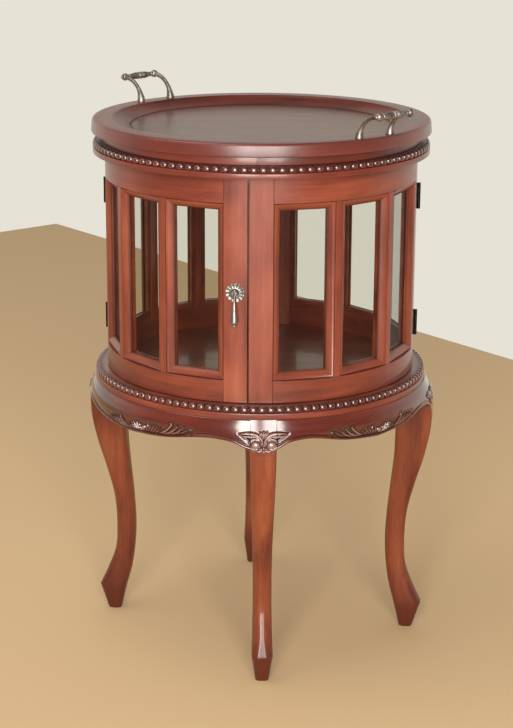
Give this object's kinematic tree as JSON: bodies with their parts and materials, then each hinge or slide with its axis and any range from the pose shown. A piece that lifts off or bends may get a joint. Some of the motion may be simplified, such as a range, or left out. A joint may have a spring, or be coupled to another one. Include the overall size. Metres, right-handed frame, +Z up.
{
  "type": "tea table",
  "caption": "Round mahogany tea table: a glazed drum cabinet with curved doors, beaded mouldings and carved aprons on cabriole legs, under a lift-off tray with turned handles.",
  "frame": {"origin": "on the floor under the drum's axis, at the middle of the feet", "axes": "+Z up, -Y to the front where the doors meet, +X to the right seen from the front"},
  "size_m": [0.5293, 0.5318, 0.8309],
  "materials": {
    "mahogany": "polished",
    "dark_mahogany": "polished",
    "tray_wood": "polished",
    "clear_glass": "clear",
    "black_iron": "satin black",
    "pewter": "worn pewter",
    "bright_rosette": "polished",
    "plain_steel": "plain"
  },
  "bodies": {
    "cabinet": {"front_leg": "mahogany", "right_leg": "mahogany", "back_leg": "mahogany", "left_leg": "mahogany", "front_to_right_apron": "mahogany", "right_to_back_apron": "mahogany", "back_to_left_apron": "mahogany", "left_to_front_apron": "mahogany", "base_board": "dark_mahogany", "lower_bead_moulding": "mahogany", "upper_bead_moulding": "mahogany", "cabinet_top": "dark_mahogany", "top_edging": "mahogany", "corner_blocks": "dark_mahogany", "corner_block_screws": "plain_steel", "back_post": "mahogany", "right_hinge_post": "mahogany", "left_hinge_post": "mahogany", "back_top_rails": "mahogany", "back_bottom_rails": "mahogany", "back_mullions": "mahogany", "back_panes": "clear_glass", "back_glazing_beads": "dark_mahogany", "hinge_pins": "black_iron", "frame_hinge_screws": "black_iron", "door_catch": "plain_steel", "left_door_frame_hinge_leaves": "black_iron", "right_door_frame_hinge_leaves": "black_iron"},
    "left_door": {"left_door_hinge_stile": "mahogany", "left_door_meeting_stile": "mahogany", "left_door_top_rail": "mahogany", "left_door_bottom_rail": "mahogany", "left_door_mullions": "mahogany", "left_door_panes": "clear_glass", "left_door_glazing_beads": "dark_mahogany", "left_door_strike": "plain_steel", "left_door_hinge_leaves": "black_iron", "left_door_hinge_screws": "black_iron", "pull_rosette": "bright_rosette", "pull_post": "pewter"},
    "right_door": {"right_door_hinge_stile": "mahogany", "right_door_meeting_stile": "mahogany", "right_door_top_rail": "mahogany", "right_door_bottom_rail": "mahogany", "right_door_mullions": "mahogany", "right_door_panes": "clear_glass", "right_door_glazing_beads": "dark_mahogany", "right_door_strike": "plain_steel", "right_door_hinge_leaves": "black_iron", "right_door_hinge_screws": "black_iron"},
    "pull": {"pull_drop": "pewter"},
    "tray": {"tray_rim": "tray_wood", "tray_base": "tray_wood", "tray_handle_screws": "plain_steel", "front_handle_posts": "pewter", "front_handle_grip": "pewter", "rear_handle_posts": "pewter", "rear_handle_grip": "pewter"}
  },
  "joints": [
    {"name": "left_door_hinge", "type": "hinge", "parent": "cabinet", "child": "left_door", "pos_m": [-0.23274, 0.0175, 0.58165], "axis": [0, 0, -1], "range_deg": [0, 165]},
    {"name": "right_door_hinge", "type": "hinge", "parent": "cabinet", "child": "right_door", "pos_m": [0.23274, -0.0175, 0.58165], "axis": [0, 0, 1], "range_deg": [0, 165]},
    {"name": "pull_swing", "type": "hinge", "parent": "left_door", "child": "pull", "pos_m": [-0.03635, -0.23551, 0.581], "axis": [-0.9883, 0.1525, 0], "range_deg": [0, 80]},
    {"name": "tray_lift", "type": "slide", "parent": "cabinet", "child": "tray", "axis": [0, 0, 1], "range_m": [0, 0.15]}
  ]
}
